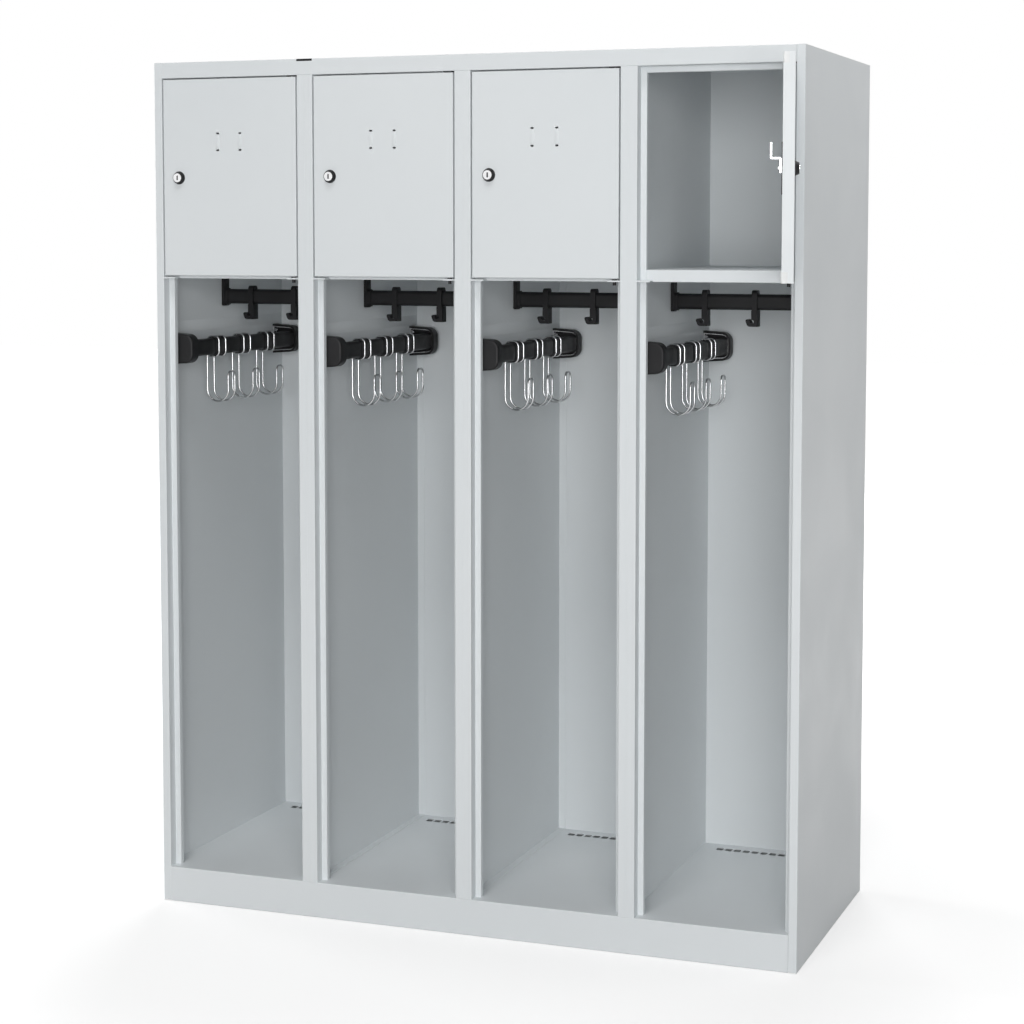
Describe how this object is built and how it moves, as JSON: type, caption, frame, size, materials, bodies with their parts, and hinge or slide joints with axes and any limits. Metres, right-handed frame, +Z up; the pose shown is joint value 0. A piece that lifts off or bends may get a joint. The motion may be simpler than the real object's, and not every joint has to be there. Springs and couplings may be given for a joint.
{
  "type": "firefighter locker",
  "caption": "Sheet-steel firefighter locker with open bays, clothes rails with sliding hooks, side hook bars with wire hooks, and lockable hinged boxes above on a plinth.",
  "frame": {"origin": "on the floor, under the middle of the carcass, on the underside of the floor channel", "axes": "+X to the viewer's right along the row of bays, +Y from the open front to the back, +Z up"},
  "size_m": [1.4507, 0.8867, 1.8],
  "materials": {
    "grey_paint": "satin light-grey powder coat",
    "black_plastic": "fine-grained black moulding",
    "grey_plastic": "light-grey moulding",
    "bright_steel": "zinc-plated",
    "chrome": "polished"
  },
  "bodies": {
    "cabinet": {"left_side_panel": "grey_paint", "right_side_panel": "grey_paint", "top_panel": "grey_paint", "base_pan": "grey_paint", "back_panel": "grey_paint", "divider_1": "grey_paint", "divider_2": "grey_paint", "divider_3": "grey_paint", "locker_shelf_1": "grey_paint", "locker_shelf_2": "grey_paint", "locker_shelf_3": "grey_paint", "locker_shelf_4": "grey_paint", "clothes_rail_1": "black_plastic", "clothes_rail_2": "black_plastic", "clothes_rail_3": "black_plastic", "clothes_rail_4": "black_plastic", "rail_brackets": "black_plastic", "hook_bar_1": "black_plastic", "hook_bar_2": "black_plastic", "hook_bar_3": "black_plastic", "hook_bar_4": "black_plastic", "bar_brackets": "bright_steel", "wire_hooks_1": "bright_steel", "wire_hooks_2": "bright_steel", "wire_hooks_3": "bright_steel", "wire_hooks_4": "bright_steel", "frame_inserts": "black_plastic", "fixing_screws": "bright_steel"},
    "door_1": {"door_1": "grey_paint", "door_caps_1": "grey_plastic", "lock_housing_1": "black_plastic"},
    "lock_1": {"lock_plug_1": "chrome", "lock_cam_1": "bright_steel"},
    "rail_hook_1_1": {"rail_hook_1_1": "black_plastic"},
    "rail_hook_1_2": {"rail_hook_1_2": "black_plastic"},
    "rail_hook_1_3": {"rail_hook_1_3": "black_plastic"},
    "door_2": {"door_2": "grey_paint", "door_caps_2": "grey_plastic", "lock_housing_2": "black_plastic"},
    "lock_2": {"lock_plug_2": "chrome", "lock_cam_2": "bright_steel"},
    "rail_hook_2_1": {"rail_hook_2_1": "black_plastic"},
    "rail_hook_2_2": {"rail_hook_2_2": "black_plastic"},
    "rail_hook_2_3": {"rail_hook_2_3": "black_plastic"},
    "door_3": {"door_3": "grey_paint", "door_caps_3": "grey_plastic", "lock_housing_3": "black_plastic"},
    "lock_3": {"lock_plug_3": "chrome", "lock_cam_3": "bright_steel"},
    "rail_hook_3_1": {"rail_hook_3_1": "black_plastic"},
    "rail_hook_3_2": {"rail_hook_3_2": "black_plastic"},
    "rail_hook_3_3": {"rail_hook_3_3": "black_plastic"},
    "door_4": {"door_4": "grey_paint", "door_caps_4": "grey_plastic", "lock_housing_4": "black_plastic"},
    "lock_4": {"lock_plug_4": "chrome", "lock_cam_4": "bright_steel"},
    "rail_hook_4_1": {"rail_hook_4_1": "black_plastic"},
    "rail_hook_4_2": {"rail_hook_4_2": "black_plastic"},
    "rail_hook_4_3": {"rail_hook_4_3": "black_plastic"}
  },
  "joints": [
    {"name": "door_1_hinge", "type": "hinge", "parent": "cabinet", "child": "door_1", "pos_m": [-0.3805, -0.293, 1.55875], "axis": [0, 0, 1], "range_deg": [0, 110]},
    {"name": "lock_1_turn", "type": "hinge", "parent": "door_1", "child": "lock_1", "pos_m": [-0.643, -0.3, 1.55875], "axis": [0, -1, 0], "range_deg": [0, 90]},
    {"name": "rail_hook_1_1_slide", "type": "slide", "parent": "cabinet", "child": "rail_hook_1_1", "axis": [1, 0, 0], "range_m": [-0.047, 0.039]},
    {"name": "rail_hook_1_2_slide", "type": "slide", "parent": "cabinet", "child": "rail_hook_1_2", "axis": [1, 0, 0], "range_m": [-0.039, 0.039]},
    {"name": "rail_hook_1_3_slide", "type": "slide", "parent": "cabinet", "child": "rail_hook_1_3", "axis": [1, 0, 0], "range_m": [-0.039, 0.041]},
    {"name": "door_2_hinge", "type": "hinge", "parent": "cabinet", "child": "door_2", "pos_m": [-0.0305, -0.293, 1.55875], "axis": [0, 0, 1], "range_deg": [0, 110]},
    {"name": "lock_2_turn", "type": "hinge", "parent": "door_2", "child": "lock_2", "pos_m": [-0.293, -0.3, 1.55875], "axis": [0, -1, 0], "range_deg": [0, 90]},
    {"name": "rail_hook_2_1_slide", "type": "slide", "parent": "cabinet", "child": "rail_hook_2_1", "axis": [1, 0, 0], "range_m": [-0.047, 0.039]},
    {"name": "rail_hook_2_2_slide", "type": "slide", "parent": "cabinet", "child": "rail_hook_2_2", "axis": [1, 0, 0], "range_m": [-0.039, 0.039]},
    {"name": "rail_hook_2_3_slide", "type": "slide", "parent": "cabinet", "child": "rail_hook_2_3", "axis": [1, 0, 0], "range_m": [-0.039, 0.041]},
    {"name": "door_3_hinge", "type": "hinge", "parent": "cabinet", "child": "door_3", "pos_m": [0.3195, -0.293, 1.55875], "axis": [0, 0, 1], "range_deg": [0, 110]},
    {"name": "lock_3_turn", "type": "hinge", "parent": "door_3", "child": "lock_3", "pos_m": [0.057, -0.3, 1.55875], "axis": [0, -1, 0], "range_deg": [0, 90]},
    {"name": "rail_hook_3_1_slide", "type": "slide", "parent": "cabinet", "child": "rail_hook_3_1", "axis": [1, 0, 0], "range_m": [-0.047, 0.039]},
    {"name": "rail_hook_3_2_slide", "type": "slide", "parent": "cabinet", "child": "rail_hook_3_2", "axis": [1, 0, 0], "range_m": [-0.039, 0.039]},
    {"name": "rail_hook_3_3_slide", "type": "slide", "parent": "cabinet", "child": "rail_hook_3_3", "axis": [1, 0, 0], "range_m": [-0.039, 0.041]},
    {"name": "door_4_hinge", "type": "hinge", "parent": "cabinet", "child": "door_4", "pos_m": [0.6695, -0.293, 1.55875], "axis": [0, 0, 1], "range_deg": [-104, 6]},
    {"name": "lock_4_turn", "type": "hinge", "parent": "door_4", "child": "lock_4", "pos_m": [0.7398, -0.54601, 1.55875], "axis": [0.9703, 0.2419, 0], "range_deg": [0, 90]},
    {"name": "rail_hook_4_1_slide", "type": "slide", "parent": "cabinet", "child": "rail_hook_4_1", "axis": [1, 0, 0], "range_m": [-0.047, 0.039]},
    {"name": "rail_hook_4_2_slide", "type": "slide", "parent": "cabinet", "child": "rail_hook_4_2", "axis": [1, 0, 0], "range_m": [-0.039, 0.039]},
    {"name": "rail_hook_4_3_slide", "type": "slide", "parent": "cabinet", "child": "rail_hook_4_3", "axis": [1, 0, 0], "range_m": [-0.039, 0.041]}
  ]
}
